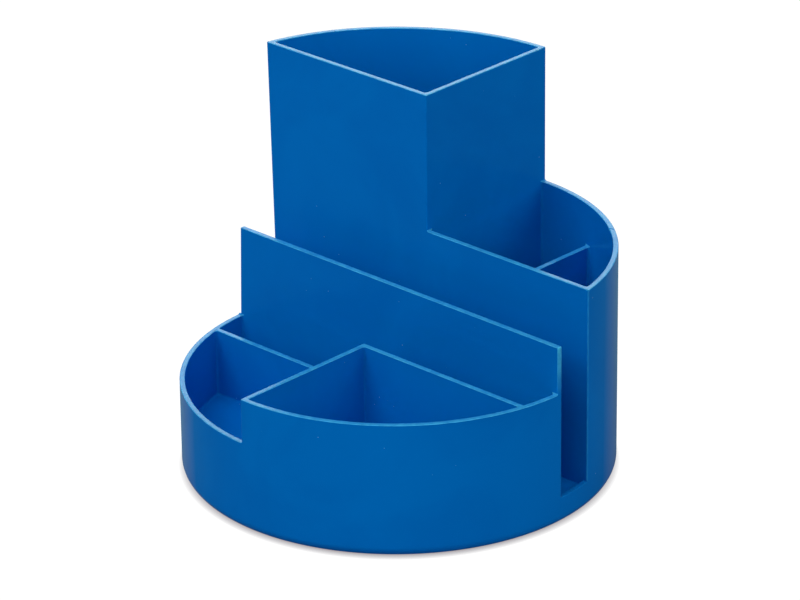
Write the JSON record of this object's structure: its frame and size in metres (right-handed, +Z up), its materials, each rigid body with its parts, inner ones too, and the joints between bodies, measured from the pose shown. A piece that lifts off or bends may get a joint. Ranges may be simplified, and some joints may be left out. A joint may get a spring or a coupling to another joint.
{
  "type": "desk organizer",
  "caption": "Round desk organizer with a tall pencil tower, pots, a letter slot, a long pocket, a cup and a low clip tray.",
  "frame": {"origin": "centre of the round base, on the table", "axes": "+Z up; +X along the letter slot; -Y towards the low front, +Y towards the tower"},
  "size_m": [0.14, 0.14, 0.122],
  "materials": {
    "moulding": "blue moulded polystyrene, satin gloss"
  },
  "bodies": {
    "root": {"foot_ring": "moulding", "floor_plate": "moulding", "left_sill": "moulding", "right_sill": "moulding", "left_arc_wall": "moulding", "front_arc_wall": "moulding", "right_arc_wall": "moulding", "tower_arc_wall": "moulding", "letter_wall": "moulding", "pot_front_wall": "moulding", "tower_front_wall": "moulding", "tower_side_wall": "moulding", "pot_divider": "moulding", "cup_side_wall": "moulding", "cup_rear_wall": "moulding", "tray_divider": "moulding"}
  },
  "joints": []
}
